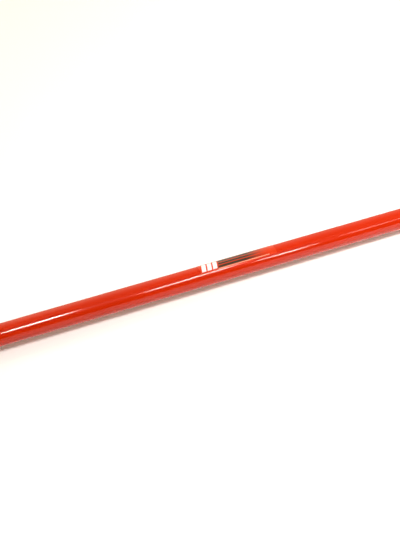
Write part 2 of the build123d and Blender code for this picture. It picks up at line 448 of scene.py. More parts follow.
@dataclass(frozen=True)
class DecalFilm:
    """Clear film with a plain printed block (three white slashes, then a dark panel that fades out)
    and a painted highlight line under the panel.

    The pattern is laid out on the film's own map, in metres from its middle: U along the bar and
    V round it, rising towards the back.
    """

    under: Colour
    name: str = "decal_film"
    ink: Colour = (0.022, 0.024, 0.016, 1.0)
    white: Colour = (0.72, 0.71, 0.69, 1.0)
    film: Colour = (0.62, 0.045, 0.008, 1.0)
    lowest: float = -6.3 * MM
    highest: float = 5.6 * MM
    # Painted highlight: a pale line just under the dark panel, standing in for light caught on the
    # film's lower edge.
    line_colour: Colour = (0.75, 0.33, 0.20, 1.0)
    line_gap: float = 0.5 * MM
    line_width: float = 0.8 * MM
    slash_start: float = -45 * MM
    slash_pitch: float = 7 * MM
    slash_width: float = 5.2 * MM
    slash_count: int = 3
    panel_start: float = -24.5 * MM
    fade_start: float = 10 * MM
    panel_end: float = 41 * MM
    slant: float = 0.30
    pinstripe: float = 0.5 * MM
    pinstripe_middle: float = -1.0 * MM
    pinstripe_offset: float = 2.0 * MM

    def build(self) -> bpy.types.Material:
        """Makes the material."""
        graph = Graph(self.name)
        flat = graph.node("ShaderNodeUVMap", {"uv_map": "film"})
        along, around, _ = graph.split(flat)
        slanted = along - around * self.slant
        band = (around > self.lowest) * (around < self.highest)
        step = (slanted - self.slash_start) / self.slash_pitch
        inside = (step.math("FRACT") < self.slash_width / self.slash_pitch) * (step > 0.0)
        slashes = band * inside * (step < float(self.slash_count))
        panel = band * (slanted > self.panel_start)
        fade = 1.0 - slanted.ramp(self.fade_start, self.panel_end)
        line = abs(abs(around - self.pinstripe_middle) - self.pinstripe_offset) < self.pinstripe
        wear = graph.noise(1.6 * MM, 3.0).ramp(0.2, 0.5)
        drift = graph.noise(25 * MM, 2.0)
        clear = graph.mix(drift, self.under, self.film)
        inked = graph.mix(panel * (1.0 - line) * fade * (wear * 0.06 + 0.92), clear, self.ink)
        # Painted highlight: the pale line under the panel stands in for light caught on the film's
        # lower edge, not for print.
        below = self.lowest - self.line_gap
        under = (around < below) * (around > below - self.line_width)
        under = under * (slanted > self.panel_start) * (slanted < self.panel_end)
        with_painted_highlight = graph.mix(under * (wear * 0.2 + 0.8), inked, self.line_colour)
        printed = graph.mix(slashes, with_painted_highlight, self.white)
        ripple = graph.noise(3.2 * MM, 1.0)
        return graph.surface(
            Base_Color=printed,
            Roughness=wear * 0.05 + 0.25,
            Coat_Weight=1.0,
            Coat_Roughness=0.05,
            Coat_IOR=1.45,
            Specular_IOR_Level=0.05,
            Normal=graph.bump(ripple, 0.004 * MM),
        )


@dataclass(frozen=True)
class StudioFloor:
    """Matt white table top."""

    name: str = "studio_floor"
    colour: Colour = (0.90, 0.89, 0.85, 1.0)
    shade: Colour = (0.88, 0.87, 0.83, 1.0)

    def build(self) -> bpy.types.Material:
        """Makes the material."""
        graph = Graph(self.name)
        cloud = graph.noise(0.4, 2.0)
        return graph.surface(
            Base_Color=graph.mix(cloud, self.colour, self.shade),
            Roughness=cloud * 0.1 + 0.55,
            Specular_IOR_Level=0.3,
        )


@dataclass(frozen=True)
class StudioWall:
    """Paper behind the table, drawn as a glow that no lamp lights, with painted shade that makes it
    greyer towards the floor.
    """

    name: str = "studio_wall"
    # The low colour is painted shade: the wall's glow near the floor, dimmed to match the less lit
    # far table.
    low: Colour = (0.56, 0.53, 0.46, 1.0)
    high: Colour = (0.85, 0.85, 0.85, 1.0)
    fade: float = 3.0

    def build(self) -> bpy.types.Material:
        """Makes the material."""
        graph = Graph(self.name)
        height = graph.split(graph.place())[2]
        return graph.surface(
            Base_Color=LIGHT_OFF,
            Roughness=1.0,
            Specular_IOR_Level=0.0,
            Emission_Color=graph.mix(height.ramp(0.0, self.fade), self.low, self.high),
            Emission_Strength=1.0,
        )


# --------------------------------------------------------------------------------------------
# Mesh building
# --------------------------------------------------------------------------------------------


def in_order(edges: Iterable[bmesh.types.BMEdge]) -> list[bmesh.types.BMVert]:
    """The vertices that a set of edges uses, each once."""
    return list(dict.fromkeys(vert for edge in edges for vert in edge.verts))


def edges_among(items: Iterable[Any]) -> Edges:
    """The edges among mixed mesh parts, in the order met."""
    return [item for item in items if isinstance(item, bmesh.types.BMEdge)]


def carried(bm: bmesh.types.BMesh, edges: Edges, span: Vector, steps: int = 1) -> Edges:
    """Carries a line of edges straight on, with faces behind it.

    Args:
        bm: The mesh.
        edges: The line.
        span: How far it goes.
        steps: In how many equal steps.

    Returns:
        The line at the far end.
    """
    for _ in range(steps):
        edges = edges_among(bmesh.ops.extrude_edge_only(bm, edges=edges)["geom"])
        bmesh.ops.translate(bm, vec=span / steps, verts=in_order(edges))
    return edges


def swung(
    bm: bmesh.types.BMesh,
    edges: Edges,
    centre: Sequence[float],
    axis: Vector,
    angle: float,
    steps: int,
) -> Edges:
    """Carries a line of edges round a bend, with faces behind it.

    Args:
        bm: The mesh.
        edges: The line.
        centre: A point on the bend's axis.
        axis: The bend's axis.
        angle: How far it bends.
        steps: In how many steps.

    Returns:
        The line at the far end.
    """
    geom = edges + in_order(edges)
    made = bmesh.ops.spin(bm, geom=geom, cent=centre, axis=axis, angle=angle, steps=steps)
    return edges_among(made["geom_last"])


class Shape:
    """A closed mesh in the making."""

    def __init__(self) -> None:
        """Starts with nothing."""
        self.bm = bmesh.new()

    @classmethod
    def turned(cls, profile: Sequence[Point], steps: int = 96) -> "Shape":
        """A body of revolution about the X axis.

        Args:
            profile: (station, radius) corners. A profile that starts and ends on the axis gives
                a solid body, and any other is closed up to give a ring.
            steps: How many faces go round.

        Returns:
            The shape, with its profile's stations along X.
        """
        shape = cls()
        bm = shape.bm
        corners = [bm.verts.new((station, 0.0, radius)) for station, radius in profile]
        pairs = list(zip(corners, corners[1:]))
        if profile[0][1] > 0.0 or profile[-1][1] > 0.0:
            pairs.append((corners[-1], corners[0]))
        edges = [bm.edges.new(pair) for pair in pairs]
        bmesh.ops.spin(
            bm,
            geom=corners + edges,
            cent=(0, 0, 0),
            axis=X_AXIS,
            angle=FULL_TURN,
            steps=steps,
            use_merge=True,
        )
        return shape.tidied()

    @classmethod
    def tube(cls, near: float, far: float, bore: float, radius: float, steps: int = 96) -> "Shape":
        """A plain ring about the X axis."""
        return cls.turned([(near, bore), (near, radius), (far, radius), (far, bore)], steps)

    @classmethod
    def prism(cls, sides: int, radius: float, start: float, end: float) -> "Shape":
        """A straight bar of regular section along X.

        Args:
            sides: How many sides it has.
            radius: From its axis to its corners.
            start: Where it starts along X.
            end: Where it ends along X.

        Returns:
            The shape.
        """
        shape = cls()
        bmesh.ops.create_cone(
            shape.bm,
            cap_ends=True,
            segments=sides,
            radius1=radius,
            radius2=radius,
            depth=end - start,
        )
        shape.turn(QUARTER, Y_AXIS)
        return shape.move(((start + end) / 2, 0, 0))

    @classmethod
    def block(cls, low: Sequence[float], high: Sequence[float]) -> "Shape":
        """A rectangular block.

        Args:
            low: Its lowest corner.
            high: Its highest corner.

        Returns:
            The shape.
        """
        shape = cls()
        bmesh.ops.create_cube(shape.bm, size=1.0)
        span = Vector(high) - Vector(low)
        bmesh.ops.scale(shape.bm, vec=span, verts=shape.bm.verts)
        return shape.move((Vector(low) + Vector(high)) / 2)

    def move(self, by: Sequence[float]) -> "Shape":
        """Shifts the whole shape."""
        bmesh.ops.translate(self.bm, vec=Vector(by), verts=self.bm.verts)
        return self

    def turn(self, angle: float, axis: Vector) -> "Shape":
        """Turns the whole shape about the origin.

        Args:
            angle: How far, in radians.
            axis: The axis turned about.

        Returns:
            The shape.
        """
        matrix = Matrix.Rotation(angle, 3, axis)
        bmesh.ops.rotate(self.bm, cent=(0, 0, 0), matrix=matrix, verts=self.bm.verts)
        return self

    def flip_to(self, side: Side) -> "Shape":
        """Mirrors a shape made for the right side when it is for the left."""
        bmesh.ops.scale(self.bm, vec=(side.value, 1, 1), verts=self.bm.verts)
        return self.tidied()

    def tidied(self, weld: float = 1e-7) -> "Shape":
        """Merges doubled vertices and turns every face outwards.

        Args:
            weld: How close counts as doubled.

        Returns:
            The shape.
        """
        bmesh.ops.remove_doubles(self.bm, verts=self.bm.verts, dist=weld)
        bmesh.ops.recalc_face_normals(self.bm, faces=self.bm.faces)
        return self

    def rounded(
        self,
        radius: float,
        segments: int = 3,
        sharper_than: float = 40.0,
        where: Callable[[bmesh.types.BMEdge], bool] = lambda edge: True,
    ) -> "Shape":
        """Rounds sharp edges.

        Args:
            radius: How far the rounding reaches from the edge.
            segments: How many faces cross it.
            sharper_than: Edges that turn by fewer degrees than this stay.
            where: Which of the sharp edges are rounded.

        Returns:
            The shape.
        """
        limit = math.radians(sharper_than)
        edges = [
            edge
            for edge in self.bm.edges
            if edge.is_manifold and edge.calc_face_angle() > limit and where(edge)
        ]
        bmesh.ops.bevel(
            self.bm,
            geom=edges,
            offset=radius,
            offset_type="OFFSET",
            segments=segments,
            profile=0.5,
            affect="EDGES",
            clamp_overlap=True,
            material=-1,
        )
        return self

    def combine(self, tool: "Shape", how: Combine) -> "Shape":
        """Cuts, joins or intersects with another closed shape, which is used up.

        Args:
            tool: The other shape.
            how: What is done with it.

        Returns:
            The shape.
        """
        base, other = self.as_object("base"), tool.as_object("tool")
        modifier = base.modifiers.new("combine", "BOOLEAN")
        modifier.operation = how.value
        modifier.solver = "EXACT"
        modifier.object = other
        graph = bpy.context.evaluated_depsgraph_get()
        result = base.evaluated_get(graph).to_mesh()
        self.bm = bmesh.new()
        self.bm.from_mesh(result)
        for scrap in (base, other):
            mesh = scrap.data
            bpy.data.objects.remove(scrap)
            bpy.data.meshes.remove(mesh)
        return self.tidied()

    def add(self, other: "Shape") -> "Shape":
        """Takes in another shape that stands clear of this one.

        Args:
            other: The other shape, which is used up.

        Returns:
            The shape.
        """
        mesh = bpy.data.meshes.new("carried")
        other.bm.to_mesh(mesh)
        other.bm.free()
        self.bm.from_mesh(mesh)
        bpy.data.meshes.remove(mesh)
        return self

    def as_object(self, name: str) -> bpy.types.Object:
        """Hands the mesh to a new object in the scene.

        Args:
            name: The object's name.

        Returns:
            The object.
        """
        mesh = bpy.data.meshes.new(name)
        self.bm.to_mesh(mesh)
        self.bm.free()
        made = bpy.data.objects.new(name, mesh)
        bpy.context.scene.collection.objects.link(made)
        return made


@dataclass
class Piece:
    """A finished piece on its way into the frame."""

    name: str
    shape: Shape
    material: bpy.types.Material
    body: str
    slot: str
    stands_for: tuple[str, ...] = ()
    crease: float = 32.0

    def fit(self) -> bpy.types.Object:
        """Puts the piece in the scene on its body.

        Returns:
            The new object.
        """
        made = self.shape.as_object(self.name)
        mesh = made.data
        mesh.materials.append(self.material)
        mesh.shade_smooth()
        mesh.set_sharp_from_angle(angle=math.radians(self.crease))
        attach(made, self.body)
        if self.stands_for:
            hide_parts(*self.stands_for)
        log.info("%s: %d faces on %s", self.name, len(mesh.polygons), self.body)
        return made


def hinge(name: str) -> Vector:
    """Where a joint's axis passes through."""
    return Vector(next(j["pos_m"] for j in frame["joints"] if j["name"] == name))


def corner_radius(across_flats: float) -> float:
    """From a hexagon's middle to its corners."""
    return across_flats / 2 / math.cos(math.pi / 6)


def mounts_named(start: str) -> list[dict[str, Any]]:
    """The part's mounts whose names start alike."""
    return [mount for mount in frame["record"]["mounts"] if mount["name"].startswith(start)]


def six_flats(across_flats: float, outline: list[Point]) -> Shape:
    """A turned outline cut down to six flats, in one cut with no face or edge on another.

    Args:
        across_flats: The size across the flats.
        outline: The turned piece's (station, radius) corners.

    Returns:
        The shape.
    """
    stations = [station for station, _ in outline]
    start, end = min(stations) - 2 * MM, max(stations) + 2 * MM
    body = Shape.prism(6, corner_radius(across_flats), start, end)
    return body.combine(Shape.turned(outline).turn(OFF_CORNER, X_AXIS), Combine.COMMON)


def turned_back(across_flats: float, start: float, end: float, crown: float) -> list[Point]:
    """The outline of a hexagon with its corners turned back at both ends.

    Args:
        across_flats: Its size across flats.
        start: Where it starts along X.
        end: Where it ends along X.
        crown: How far along X the corners are turned back.

    Returns:
        (station, radius) corners from start to end.
    """
    face = across_flats / 2 * 0.96
    reach = corner_radius(across_flats) * 1.01
    return [(start, face), (start + crown, reach), (end - crown, reach), (end, face)]


def thread(start: float, end: float, radius: float, pitch: float) -> list[Point]:
    """The outline of a cut thread.

    Args:
        start: Where it starts along X.
        end: Where it ends along X.
        radius: Its outer radius.
        pitch: From crest to crest.

    Returns:
        (station, radius) corners from start to end.
    """
    depth = pitch * 0.55
    turns = int(abs(end - start) / pitch)
    step = math.copysign(pitch, end - start)
    shape = ((0.10, radius), (0.45, radius - depth), (0.55, radius - depth), (0.90, radius))
    return [(start + turn * step + at * step, out) for turn in range(turns) for at, out in shape]



# --------------------------------------------------------------------------------------------
# Sub-assemblies
# --------------------------------------------------------------------------------------------


@dataclass
class SwayBar:
    """The bent bar with its flattened, drilled arm ends, and the decal on its middle."""

    coat: bpy.types.Material
    film: bpy.types.Material
    diameter: float = 25.4 * MM
    bend_radius: float = 70 * MM
    paddle_thickness: float = 13 * MM
    paddle_height: float = 34 * MM
    paddle_round: float = 2.5 * MM
    paddle_straight: float = 88 * MM
    section_shares: Point = (10 / 24, 18 / 24)
    neck: float = 42 * MM
    hole_diameter: float = 12.5 * MM
    hole_lip: float = 0.8 * MM
    decal_thickness: float = 0.12 * MM
    facets: int = 96
    middle_steps: int = 24
    bend_steps: int = 32
    arm_steps: int = 4
    paddle_steps: int = 8
    tip_steps: int = 40
    hole_facets: int = 64
    decal_steps: tuple[int, int] = (60, 28)

    def __post_init__(self) -> None:
        """Works out the bar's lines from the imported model."""
        low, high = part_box("sway_bar")
        self.radius = self.diameter / 2
        self.arm_x = high.x - self.radius
        self.axis_z = (low.z + high.z) / 2
        self.pivot_y = low.y + self.paddle_height / 2
        self.bend_x = self.arm_x - self.bend_radius
        self.paddle_root_y = self.pivot_y + self.paddle_straight
        self.neck_root_y = self.paddle_root_y + self.neck
        spare = [mount["pos_m"][1] for mount in mounts_named("arm_hole")]
        self.hole_ys = sorted({self.pivot_y, *spare})

    def build(self) -> None:
        """Makes the bar and its decal."""
        Piece("bar", self._steel(), self.coat, "bar", "bar_powder_coat", ("sway_bar",)).fit()
        Piece("decal", self._decal(), self.film, "bar", "decal_film", ("centre_decal",)).fit()

    def _steel(self) -> Shape:
        """The whole bar.

        Returns:
            The shape.
        """
        shape = Shape()
        bm = shape.bm
        bmesh.ops.create_circle(bm, segments=self.facets, radius=self.radius)
        shape.turn(QUARTER, Y_AXIS).move((0, 0, self.axis_z))
        edges = list(bm.edges)
        edges = carried(bm, edges, Vector((self.bend_x, 0, 0)), self.middle_steps)
        corner = (self.bend_x, -self.bend_radius, self.axis_z)
        edges = swung(bm, edges, corner, Z_AXIS, -QUARTER, self.bend_steps)
        arm = Vector((0, self.neck_root_y + self.bend_radius, 0))
        edges = carried(bm, edges, arm, self.arm_steps)
        edges = self._flatten(bm, edges)
        paddle = Vector((0, self.pivot_y - self.paddle_root_y, 0))
        edges = carried(bm, edges, paddle, self.paddle_steps)
        upper = [e for e in edges if all(v.co.z > self.axis_z - WELD for v in e.verts)]
        tip = (self.arm_x, self.pivot_y, self.axis_z)
        swung(bm, upper, tip, X_AXIS, math.pi, self.tip_steps)
        shape.tidied(WELD)
        bmesh.ops.mirror(
            bm,
            geom=list(bm.verts) + list(bm.edges) + list(bm.faces),
            matrix=Matrix.Identity(4),
            merge_dist=WELD,
            axis="X",
        )
        shape.tidied(WELD)
        return shape.combine(self._drills(), Combine.CUT)

    def _flatten(self, bm: bmesh.types.BMesh, edges: Edges, steps: int = 16) -> Edges:
        """Carries the round section on into the paddle's flat one.

        Args:
            bm: The mesh.
            edges: The round ring.
            steps: How many rings the change takes.

        Returns:
            The flat ring.
        """
        turn = bm.verts.layers.float.new("turn")
        for vert in in_order(edges):
            vert[turn] = math.atan2(vert.co.z - self.axis_z, vert.co.x - self.arm_x)
        for step in range(1, steps + 1):
            edges = carried(bm, edges, Vector((0, -self.neck / steps, 0)))
            share = step / steps
            ease = share * share * (3 - 2 * share)
            for vert in in_order(edges):
                angle = vert[turn]
                round_x, round_z = math.cos(angle) * self.radius, math.sin(angle) * self.radius
                flat_x, flat_z = self._flat_point(angle)
                vert.co.x = self.arm_x + round_x + (flat_x - round_x) * ease
                vert.co.z = self.axis_z + round_z + (flat_z - round_z) * ease
        return edges

    def _flat_point(self, angle: float) -> Point:
        """Where a point of the round section goes on the flat one.

        Args:
            angle: The point's angle round the bar.

        Returns:
            Its X and Z from the arm's axis.
        """
        half_x, half_z = self.paddle_thickness / 2, self.paddle_height / 2
        bend = self.paddle_round
        share = math.acos(min(1.0, abs(math.cos(angle)))) / QUARTER
        side_end, bend_end = self.section_shares
        if share <= side_end:
            x, z = half_x, (half_z - bend) * share / side_end
        elif share <= bend_end:
            corner = (share - side_end) / (bend_end - side_end) * QUARTER
            x = half_x - bend + bend * math.cos(corner)
            z = half_z - bend + bend * math.sin(corner)
        else:
            x, z = (half_x - bend) * (1 - share) / (1 - bend_end), half_z
        return math.copysign(x, math.cos(angle)), math.copysign(z, math.sin(angle))

    def _drills(self) -> Shape:
        """The six holes through the paddles, each with a rounded lip.

        Returns:
            The shapes that cut them.
        """
        half, radius, lip = self.paddle_thickness / 2, self.hole_diameter / 2, self.hole_lip
        flare = [(half - lip * s, radius + lip * c) for c, s in ROUNDING]
        outside = (half + 2 * lip, flare[-1][1])
        near = flare + [outside]
        far = [(-x, r) for x, r in reversed(near)]
        profile = [(far[0][0], 0.0)] + far + near + [(near[-1][0], 0.0)]
        tools = Shape()
        for side in Side:
            for y in self.hole_ys:
                drill = Shape.turned(profile, self.hole_facets)
                tools.add(drill.move((side.value * self.arm_x, y, self.axis_z)))
        return tools.tidied()

    def _decal(self) -> Shape:
        """The film on the bar, wrapped over its top.

        Returns:
            The shape, with its map.
        """
        low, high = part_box("centre_decal")
        half_angle = math.asin((high.y - low.y) / 2 / (self.radius + self.decal_thickness))
        half_length = (high.x - low.x) / 2
        shape = Shape()
        bm = shape.bm
        columns, rows = self.decal_steps
        bmesh.ops.create_grid(bm, x_segments=columns, y_segments=rows, size=1.0)
        layer = bm.loops.layers.uv.new("film")
        for face in bm.faces:
            for loop in face.loops:
                spot = loop.vert.co
                arc = spot.y * half_angle * self.radius
                loop[layer].uv = (spot.x * half_length, arc)
        for vert in bm.verts:
            angle = vert.co.y * half_angle
            lift = self.radius + self.decal_thickness
            vert.co = (
                vert.co.x * half_length,
                math.sin(angle) * lift,
                self.axis_z + math.cos(angle) * lift,
            )
        bmesh.ops.recalc_face_normals(bm, faces=bm.faces)
        bmesh.ops.solidify(bm, geom=list(bm.faces), thickness=self.decal_thickness)
        return shape


class BendLine:
    """The line that a flat strap is bent along, in the plane square to the bar."""

    def __init__(self, start: Point) -> None:
        """Starts the line, heading towards +Y.

        Args:
            start: Its first point's Y and Z, on the strap's lower face.
        """
        self.point = Vector(start)
        self.heading = 0.0
        self.length = 0.0
        self.spans: list[tuple[float, float, Vector, float, float]] = []

    def straight(self, length: float) -> "BendLine":
        """Adds a straight run.

        Args:
            length: Its length.

        Returns:
            The line.
        """
        self.spans.append((self.length, length, self.point.copy(), self.heading, 0.0))
        self.point += Vector((math.cos(self.heading), math.sin(self.heading))) * length
        self.length += length
        return self

    def arc(self, radius: float, angle: float) -> "BendLine":
        """Adds a bend.

        Args:
            radius: The lower face's radius.
            angle: How far it turns, above 0 towards the upper face.

        Returns:
            The line.
        """
        length = radius * abs(angle)
        self.spans.append((self.length, length, self.point.copy(), self.heading, angle / length))
        self.point = self._at(self.spans[-1], length, 0.0)
        self.heading += angle
        self.length += length
        return self

    @staticmethod
    def _at(span: tuple[float, float, Vector, float, float], along: float, above: float) -> Vector:
        """A point of a span.

        Args:
            span: Its start, length, first point, heading and bend per length.
            along: How far into it the point is.
            above: How far above the lower face.

        Returns:
            The point's Y and Z.
        """
        _, _, first, heading, rate = span
        if rate == 0.0:
            ahead = Vector((math.cos(heading), math.sin(heading)))
            return first + ahead * along + Vector((-ahead.y, ahead.x)) * above
        centre = first + Vector((-math.sin(heading), math.cos(heading))) / rate
        now = heading + rate * along
        return centre - Vector((-math.sin(now), math.cos(now))) * (1 / rate - above)

    def bend(self, blank: Shape, turn_per_cut: float = math.radians(4)) -> Shape:
        """Bends a flat strap that lies along Y from 0, on Z 0.

        Args:
            blank: The flat strap.
            turn_per_cut: How much of a bend lies between two cross cuts.

        Returns:
            The bent strap.
        """
        bm = blank.bm
        for start, length, _, _, rate in self.spans:
            cuts = max(1, round(abs(rate) * length / turn_per_cut))
            for number in range(cuts + (rate != 0.0)):
                bmesh.ops.bisect_plane(
                    bm,
                    geom=list(bm.verts) + list(bm.edges) + list(bm.faces),
                    dist=WELD,
                    plane_co=(0, start + length * number / cuts, 0),
                    plane_no=(0, 1, 0),
                )
        for vert in bm.verts:
            span = next(
                s for s in reversed(self.spans) if s[0] <= vert.co.y + 1e-9 or s is self.spans[0]
            )
            vert.co.yz = self._at(span, vert.co.y - span[0], vert.co.z)
        return blank.tidied()


@dataclass
class FrameMount:
    """A split polyurethane bushing under a bent saddle bracket, with its grease fitting."""

    side: Side
    rubber: bpy.types.Material
    plate: bpy.types.Material
    zinc: bpy.types.Material
    bar_diameter: float = 25.4 * MM
    running_clearance: float = 0.05 * MM
    seat_radius: float = 24 * MM
    lip_width: float = 5 * MM
    lip_round: float = 0.9 * MM
    lip_root: float = 0.4 * MM
    slit: float = 0.6 * MM
    grease_way: float = 1.6 * MM
    groove_depth: float = 1 * MM
    groove_width: float = 3 * MM
    groove_offset: float = 10 * MM
    bore_ease: float = 0.8 * MM
    plate_thickness: float = 4 * MM
    plate_round: float = 0.6 * MM
    inner_bend: float = 3 * MM
    foot_corner: float = 8 * MM
    fitting_thread: float = 6 * MM
    bushing_steps: int = 72
    fitting_facets: int = 48
    fitting_flats: float = 8 * MM
    fitting_hexagon: float = 4 * MM
    fitting_neck: float = 2.3 * MM
    fitting_ball: float = 3.25 * MM
    fitting_bore: float = 0.8 * MM

    def __post_init__(self) -> None:
        """Finds the mount's middle and its body."""
        self.body = f"mount_{self.side.label}"
        self.middle = hinge(f"mount_{self.side.label}_turn")
        self.bushing_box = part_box(f"frame_bushing_{self.side.label}")
        self.bracket_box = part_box(f"saddle_bracket_{self.side.label}")
        self.fitting_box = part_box(f"grease_fitting_{self.side.label}")
        self.pattern = mounts_named("chassis_bolts")[0]["dims"]

    def build(self) -> None:
        """Makes the three pieces."""
        tag = self.side.label
        bushing, bracket, fitting = self._bushing(), self._bracket(), self._fitting()
        rows = (
            ("frame_bushing", bushing, self.rubber, "black_polyurethane"),
            ("saddle_bracket", bracket, self.plate, "zinc_plate"),
            ("grease_fitting", fitting, self.zinc, "zinc_hardware"),
        )
        for name, shape, material, slot in rows:
            node = f"{name}_{tag}"
            Piece(f"{node}_piece", shape, material, self.body, slot, (node,)).fit()

    def _upright(self, shape: Shape) -> Shape:
        """Stands a shape that was made along X on its end, at the mount's middle."""
        return shape.turn(-QUARTER, Y_AXIS).move((self.middle.x, 0, 0))

    def _contour(self) -> list[Point]:
        """The bushing's outline from its axis over both lips and back, without its bore.

        Returns:
            (station, radius) corners from one end to the other.
        """
        low, high = self.bushing_box
        lip_radius = (high.y - low.y) / 2
        ease, root = self.lip_round, self.lip_root
        seat_start = low.x + self.lip_width
        outer = [(low.x + ease * c, lip_radius - ease * s) for c, s in ROUNDING]
        inner = [(seat_start - ease * s, lip_radius - ease * c) for c, s in ROUNDING]
        foot = [(seat_start + root * c, self.seat_radius + root * s) for c, s in ROUNDING]
        half = [(low.x, 0.0)] + outer + inner + foot
        middle = (low.x + high.x) / 2
        return half + [(2 * middle - x, r) for x, r in reversed(half)]

    def _bushing(self) -> Shape:
        """The bushing.

        Returns:
            The shape.
        """
        low, high = self.bushing_box
        shape = Shape()
        bm = shape.bm
        outline = [bm.verts.new((x, r, self.middle.z)) for x, r in self._contour()]
        front = [bm.edges.new(pair) for pair in zip(outline, outline[1:])]
        back = swung(bm, front, self.middle, X_AXIS, math.pi, self.bushing_steps)
        drop = Vector((0, 0, low.z - self.middle.z))
        for edges in (front, back):
            carried(bm, edges, drop)
        shape.tidied(WELD)
        bmesh.ops.holes_fill(bm, edges=[e for e in bm.edges if e.is_boundary], sides=0)
        shape.tidied(WELD)
        shape.combine(self._bore_tool(), Combine.CUT)
        start = self.bar_diameter / 2 - MM
        slit_low = (low.x - MM, start, self.middle.z - self.slit / 2)
        slit_high = (high.x + MM, high.y + MM, self.middle.z + self.slit / 2)
        shape.combine(Shape.block(slit_low, slit_high), Combine.CUT)
        socket = self.fitting_thread / 2 + self.running_clearance
        drill = Shape.prism(self.fitting_facets, socket, self.fitting_box[0].z, high.z + MM)
        shape.combine(self._upright(drill), Combine.CUT)
        way = Shape.prism(24, self.grease_way / 2, self.middle.z, self.fitting_box[0].z + MM)
        return shape.combine(self._upright(way), Combine.CUT)

    def _bore_tool(self) -> Shape:
        """The bar's hole with eased ends and two grease grooves.

        Returns:
            The shape that cuts it.
        """
        low, high = self.bushing_box
        radius = self.bar_diameter / 2 + self.running_clearance
        deep = radius + self.groove_depth
        half = (high.x - low.x) / 2
        ease = self.bore_ease
        start, end = (self.groove_offset + share * self.groove_width for share in (-0.5, 0.5))
        right = [(start, radius), (start + ease / 2, deep), (end - ease / 2, deep), (end, radius)]
        right += [(half - ease, radius), (half + ease, radius + 2 * ease)]
        left = [(-x, r) for x, r in reversed(right)]
        profile = [(left[0][0], 0.0)] + left + right + [(right[-1][0], 0.0)]
        return Shape.turned(profile).move(self.middle)

    def _bracket(self) -> Shape:
        """The strap: punched flat with its holes, then bent over the bushing.

        Returns:
            The shape.
        """
        low, high = self.bracket_box
        thick = self.plate_thickness
        saddle = high.z - self.middle.z - thick
        bend_y = saddle + thick + self.inner_bend
        bend_z = thick + self.inner_bend
        path = BendLine(start=(low.y, 0.0))
        path.straight(-bend_y - low.y).arc(bend_z, QUARTER).straight(self.middle.z - bend_z)
        path.arc(saddle, -math.pi).straight(self.middle.z - bend_z)
        path.arc(bend_z, QUARTER).straight(high.y - bend_y)
        blank = Shape.block((low.x, 0, 0), (high.x, path.length, thick))

        def upright(edge: bmesh.types.BMEdge) -> bool:
            """Whether an edge runs through the plate."""
            return abs(edge.verts[0].co.z - edge.verts[1].co.z) > MM

        blank.rounded(self.foot_corner, 10, 60.0, upright)
        blank.rounded(self.plate_round, 3, 60.0)
        hole = self.pattern["hole_r_mm"] * MM
        inset = self.pattern["spacing_y_mm"] * MM / 2 + low.y
        tools = Shape()
        for along in (inset * -1, path.length + inset):
            tools.add(self._punch(hole, thick, 0.5 * MM, (self.middle.x, along, 0)))
        socket = self.fitting_thread / 2 + self.running_clearance
        tools.add(self._punch(socket, thick, 0.2 * MM, (self.middle.x, path.length / 2, 0)))
        blank.combine(tools.tidied(), Combine.CUT)
        return path.bend(blank)

    @staticmethod
    def _punch(radius: float, thick: float, lip: float, place: Sequence[float]) -> Shape:
        """A cutter for one upright hole with eased rims.

        Args:
            radius: The hole's radius.
            thick: The plate's thickness.
            lip: How far the rims are eased.
            place: Where the hole is, on the plate's lower face.

        Returns:
            The cutter.
        """
        profile = [
            (-lip, 0.0),
            (-lip, radius + 2 * lip),
            (lip, radius),
            (thick - lip, radius),
            (thick + lip, radius + 2 * lip),
            (thick + lip, 0.0),
        ]
        return Shape.turned(profile, 64).turn(-QUARTER, Y_AXIS).move(place)

    def _fitting(self) -> Shape:
        """The grease fitting, standing in the bracket's crown.

        Returns:
            The shape.
        """
        low, high = self.fitting_box
        seat = self.bracket_box[1].z
        shoulder = seat + self.fitting_hexagon
        thread_radius = self.fitting_thread / 2
        bore, ball = self.fitting_bore, self.fitting_ball
        centre = high.z - ball
        arc = [math.radians(angle) for angle in range(-45, 76, 12)]
        stem = [(low.z, bore), (low.z, thread_radius - 0.7 * MM), (low.z + 0.7 * MM, thread_radius)]
        stem += thread(low.z + 1 * MM, seat - 1 * MM, thread_radius, 1 * MM)
        stem += [(seat + self.fitting_hexagon / 2, thread_radius), (shoulder, thread_radius)]
        stem += [(shoulder + 0.5 * MM, self.fitting_neck)]
        stem += [(centre + ball * math.sin(a), ball * math.cos(a)) for a in arc]
        stem += [(high.z - 0.1 * MM, bore)]
        hexagon = turned_back(self.fitting_flats, seat, shoulder, 0.5 * MM)
        hexagon = [(seat, 0.0), *hexagon, (shoulder, 0.0)]
        head = six_flats(self.fitting_flats, hexagon).turn(QUARTER, X_AXIS)
        drill = Shape.prism(24, thread_radius * 0.8, seat - MM, shoulder + MM)
        head.combine(drill, Combine.CUT)
        return self._upright(Shape.turned(stem, self.fitting_facets).combine(head, Combine.JOIN))


